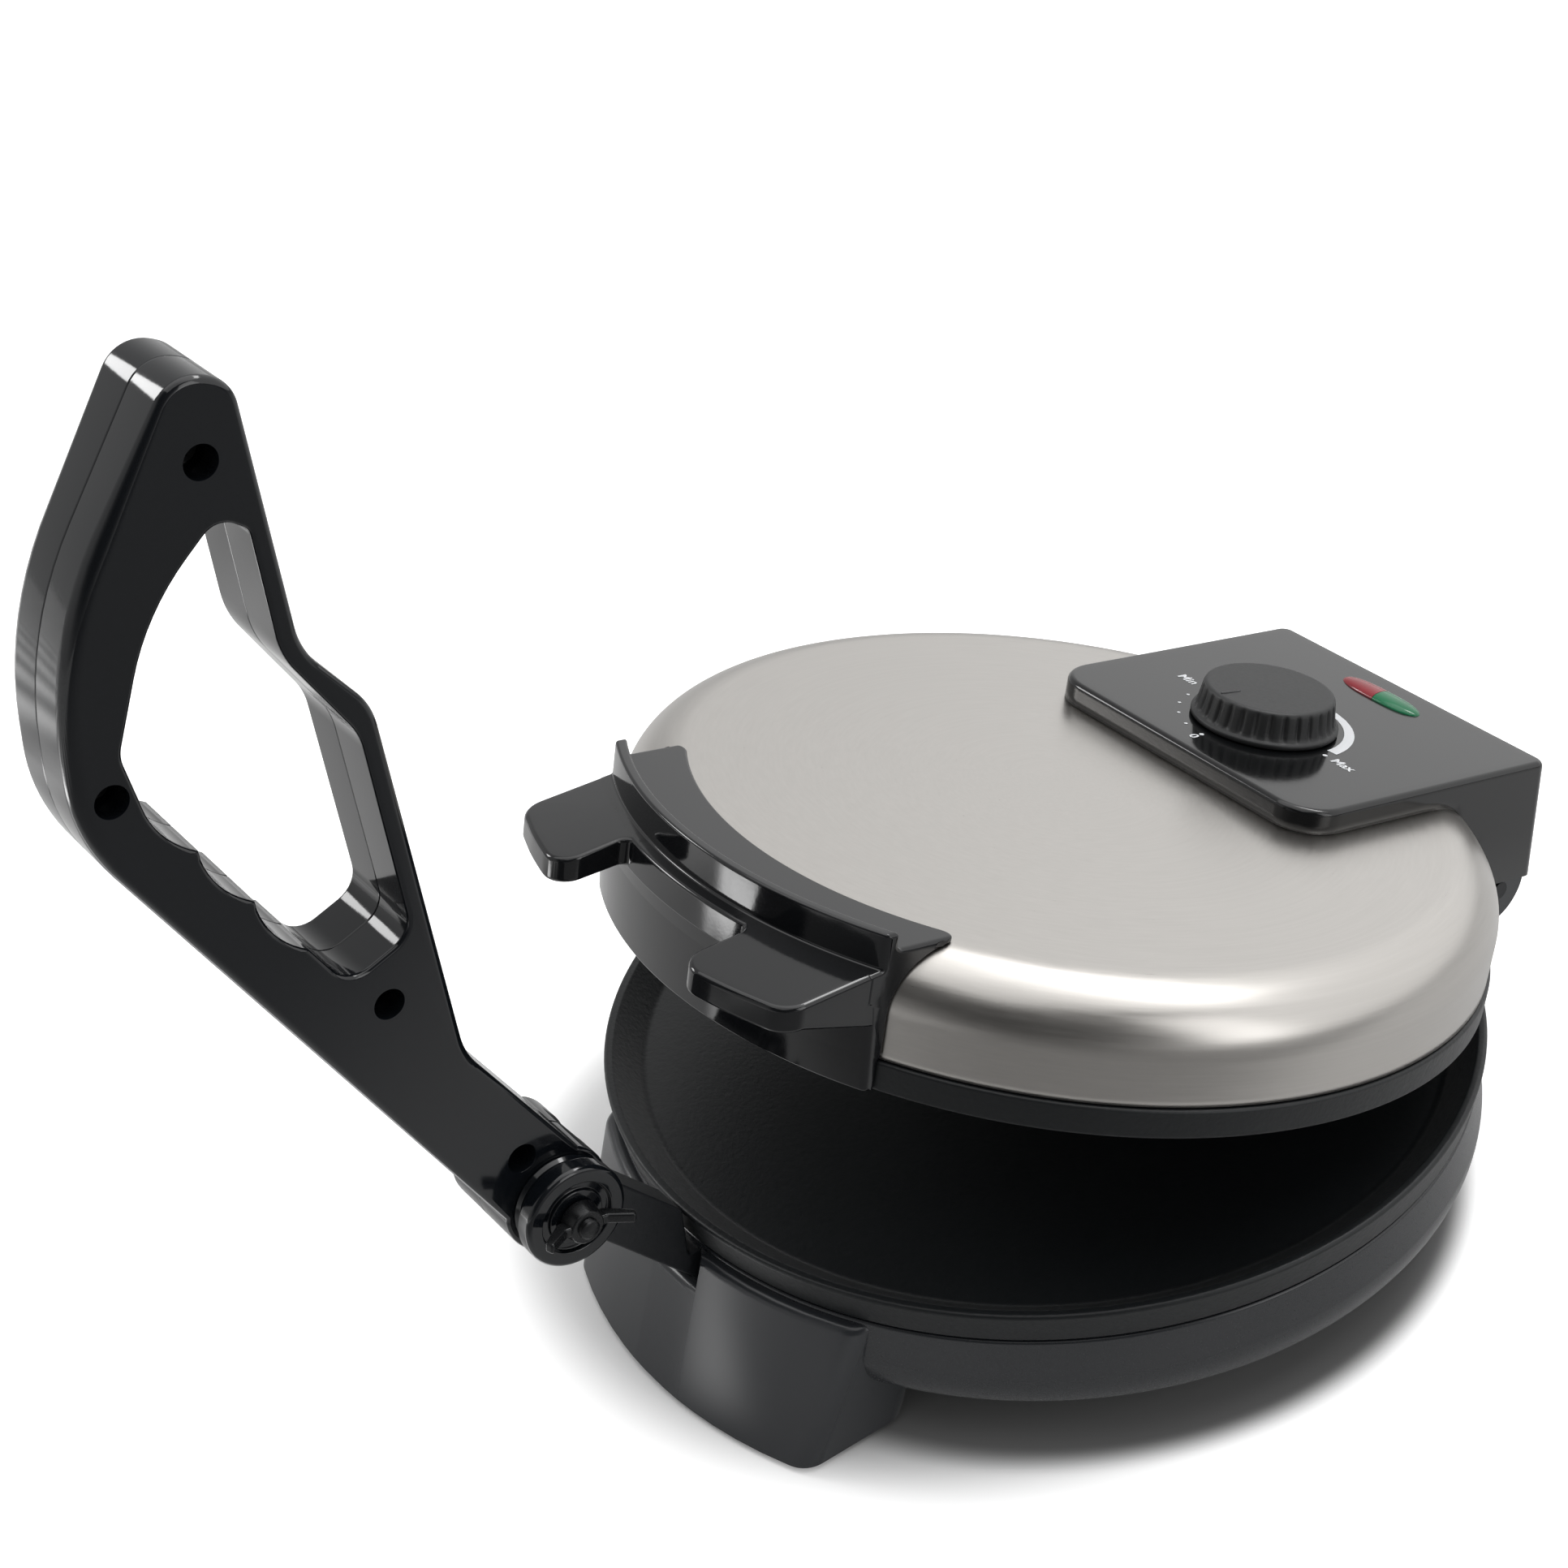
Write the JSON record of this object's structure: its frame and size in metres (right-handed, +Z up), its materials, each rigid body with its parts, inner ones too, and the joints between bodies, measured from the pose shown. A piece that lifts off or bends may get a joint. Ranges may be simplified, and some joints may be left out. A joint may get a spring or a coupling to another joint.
{
  "type": "electric roti maker",
  "caption": "Countertop cooker with two round non-stick plates, a hinged steel lid with a thermostat dial, and a long swinging pressing lever at the front.",
  "frame": {"origin": "on the table, straight below the centre of the lower plate", "axes": "+Z up; -Y towards the user, where the lever is; +Y towards the hinge; +X to the user's right"},
  "size_m": [0.27, 0.4439, 0.3638],
  "materials": {
    "housing_paint": "satin dark grey enamel",
    "leg_plastic": "moulded, satin",
    "zinc_sheet": "zinc-plated sheet",
    "zinc_screws": "zinc-plated",
    "foot_rubber": "moulded",
    "nonstick_plate": "fine textured non-stick coating on a cast plate",
    "element_sheath": "annealed tube",
    "terminal_ceramic": "glazed ceramic",
    "gland_plastic": "moulded",
    "bracket_casting": "black stove enamel",
    "black_steel": "gloss black",
    "pin_steel": "ground",
    "brushed_cover": "brushed",
    "black_handle": "gloss black phenolic",
    "control_box_plastic": "satin to gloss black",
    "lamp_glass": "clear",
    "red_lens": "tinted clear",
    "green_lens": "tinted clear",
    "knob_plastic": "matte charcoal",
    "bush_brass": "turned"
  },
  "bodies": {
    "base": {"lower_housing": "housing_paint", "front_leg": "leg_plastic", "rear_leg": "leg_plastic", "bottom_cover": "zinc_sheet", "bottom_cover_screws": "zinc_screws", "rubber_feet": "foot_rubber", "leg_screws": "zinc_screws", "lower_plate": "nonstick_plate", "lower_plate_screws": "zinc_screws", "lower_heating_element": "element_sheath", "lower_heat_shield": "zinc_sheet", "terminal_block": "terminal_ceramic", "cord_gland": "gland_plastic", "lever_bracket": "bracket_casting", "bracket_screws": "zinc_screws", "pivot_bolt": "black_steel", "hinge_pin": "pin_steel", "hinge_pin_clip": "pin_steel", "hinge_washers": "pin_steel", "pivot_washer": "pin_steel"},
    "lid": {"lid_cover": "brushed_cover", "upper_plate": "nonstick_plate", "upper_plate_screws": "zinc_screws", "upper_heating_element": "element_sheath", "upper_heat_shield": "zinc_sheet", "lid_handle": "black_handle", "lid_handle_screws": "zinc_screws", "control_box": "control_box_plastic", "control_box_screws": "zinc_screws", "lid_hinge_bracket": "pin_steel", "lid_hinge_screws": "zinc_screws", "thermostat_body": "terminal_ceramic", "thermal_fuse": "terminal_ceramic", "neon_lamps": "lamp_glass", "red_lens": "red_lens", "green_lens": "green_lens"},
    "knob": {"thermostat_shaft": "pin_steel", "thermostat_knob": "knob_plastic"},
    "lever": {"lever_shell_right": "black_handle", "lever_shell_left": "black_handle", "lever_screws": "zinc_screws", "hub_cap": "black_handle", "pivot_bush": "bush_brass"},
    "wing_nut": {"wing_nut": "black_steel"}
  },
  "joints": [
    {"name": "lid_hinge", "type": "hinge", "parent": "base", "child": "lid", "pos_m": [0, 0.148, 0.06], "axis": [-1, 0, 0], "range_deg": [-14.5, 75.5]},
    {"name": "dial_turn", "type": "hinge", "parent": "lid", "child": "knob", "pos_m": [0, 0.09436, 0.12417], "axis": [0, -0.2504, -0.9681], "range_deg": [0, 270]},
    {"name": "lever_swing", "type": "hinge", "parent": "base", "child": "lever", "pos_m": [0, -0.1792, 0.0985], "axis": [-1, 0, 0], "range_deg": [-45, 42]},
    {"name": "wing_nut_turn", "type": "hinge", "parent": "base", "child": "wing_nut", "pos_m": [0.028, -0.1792, 0.0985], "axis": [1, 0, 0], "continuous": true}
  ]
}
